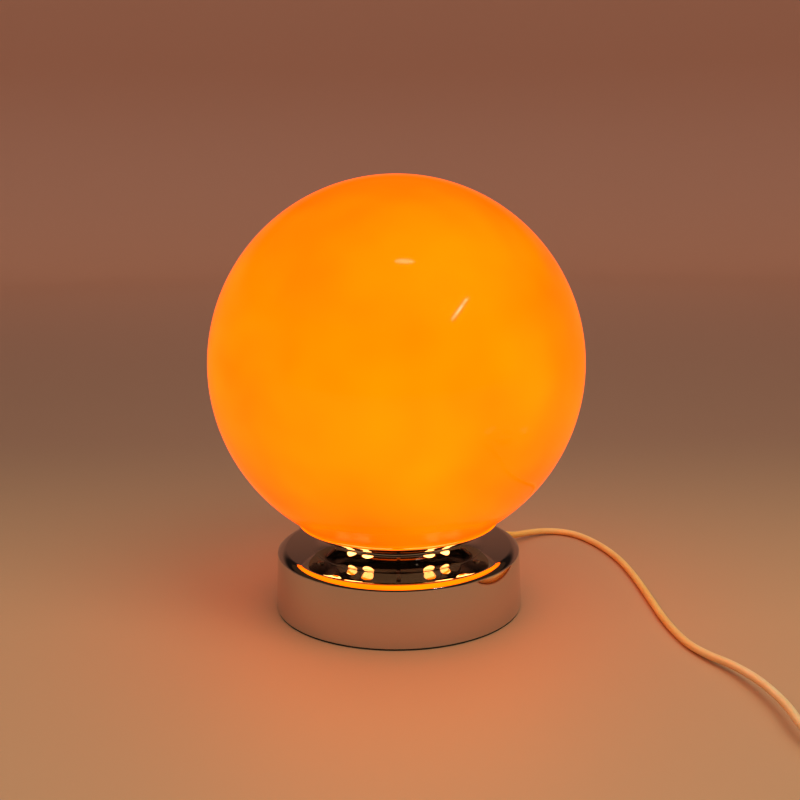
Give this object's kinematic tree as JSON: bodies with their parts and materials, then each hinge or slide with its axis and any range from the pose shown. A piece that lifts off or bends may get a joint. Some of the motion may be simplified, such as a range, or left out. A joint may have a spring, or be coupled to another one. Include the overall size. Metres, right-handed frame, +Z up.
{
  "type": "table lamp",
  "caption": "Ball table lamp: an orange opal glass globe on a chrome gallery, neck and drum, with a screw-in bulb and a mains lead with switch and plug.",
  "frame": {"origin": "centre of the foot on the table, on the lamp's axis", "axes": "+Z up along the lamp's axis, +X to the picture's right, +Y away from the camera"},
  "size_m": [0.4656, 0.3843, 0.2927],
  "materials": {
    "orange_opal_glass": "glossy opal, lit from inside",
    "chrome": "polished",
    "spring_steel": "satin",
    "zinc_steel": "zinc plated",
    "black_rubber": "matt",
    "felt": "felted",
    "iron": "rough cast",
    "brass": "bright",
    "holder_plastic": "moulded",
    "porcelain": "unglazed",
    "cord_sheath": "soft, half clear",
    "brown_insulation": "smooth",
    "blue_insulation": "smooth",
    "white_plastic": "moulded",
    "rocker_plastic": "moulded",
    "black_plastic": "moulded",
    "solder": "tinned",
    "cap_metal": "rolled",
    "led_board": "white coated",
    "lit_diffuser": "frosted, lit from inside",
    "nickel_pins": "nickel plated"
  },
  "bodies": {
    "base": {"globe_springs": "spring_steel", "spring_rivets": "zinc_steel", "gallery": "chrome", "neck": "chrome", "base_shell": "chrome", "foot_ring": "black_rubber", "bottom_plate": "zinc_steel", "bottom_screws": "zinc_steel", "plate_brackets": "zinc_steel", "felt_pad": "felt", "ballast": "iron", "threaded_tube": "zinc_steel", "tube_nuts": "brass", "tube_washers": "zinc_steel", "holder_cap": "holder_plastic", "holder_body": "holder_plastic", "holder_insert": "porcelain", "holder_shell": "brass", "holder_contact": "brass", "holder_terminals": "brass", "lead_inside": "cord_sheath", "core_brown": "brown_insulation", "core_blue": "blue_insulation", "cord_clamp": "holder_plastic", "clamp_screws": "zinc_steel", "strain_relief": "white_plastic", "cord_run": "cord_sheath", "switch_lower": "white_plastic", "switch_upper": "white_plastic", "switch_pin": "zinc_steel", "switch_screws": "zinc_steel", "switch_contacts": "brass", "cord_link": "cord_sheath", "cord_coil": "cord_sheath", "cord_tail": "cord_sheath", "coil_tie": "black_plastic", "plug_body": "white_plastic", "plug_pins": "nickel_pins", "pin_sleeves": "black_plastic"},
    "globe": {"glass_globe": "orange_opal_glass"},
    "bulb_foot": {"bulb_contact": "solder", "bulb_insulator": "black_plastic"},
    "bulb": {"bulb_cap": "cap_metal", "bulb_collar": "white_plastic", "led_plate": "led_board", "bulb_dome": "lit_diffuser"},
    "rocker": {"switch_rocker": "rocker_plastic"}
  },
  "joints": [
    {"name": "globe_lift", "type": "slide", "parent": "base", "child": "globe", "axis": [0, 0, 1], "range_m": [0, 0.135]},
    {"name": "bulb_rise", "type": "slide", "parent": "base", "child": "bulb_foot", "axis": [0, 0, 1], "range_m": [0, 0.0156]},
    {"name": "bulb_turn", "type": "hinge", "parent": "bulb_foot", "child": "bulb", "pos_m": [0, 0, 0.1], "axis": [0, 0, 1], "range_deg": [0, 1530]},
    {"name": "rocker_tilt", "type": "hinge", "parent": "base", "child": "rocker", "pos_m": [0.266, -0.23, 0.012], "axis": [0, -1, 0], "range_deg": [0, 20]}
  ],
  "couplings": [
    {"joint": "bulb_rise", "follows": "bulb_turn", "m_per_rad": 0.00057773}
  ]
}
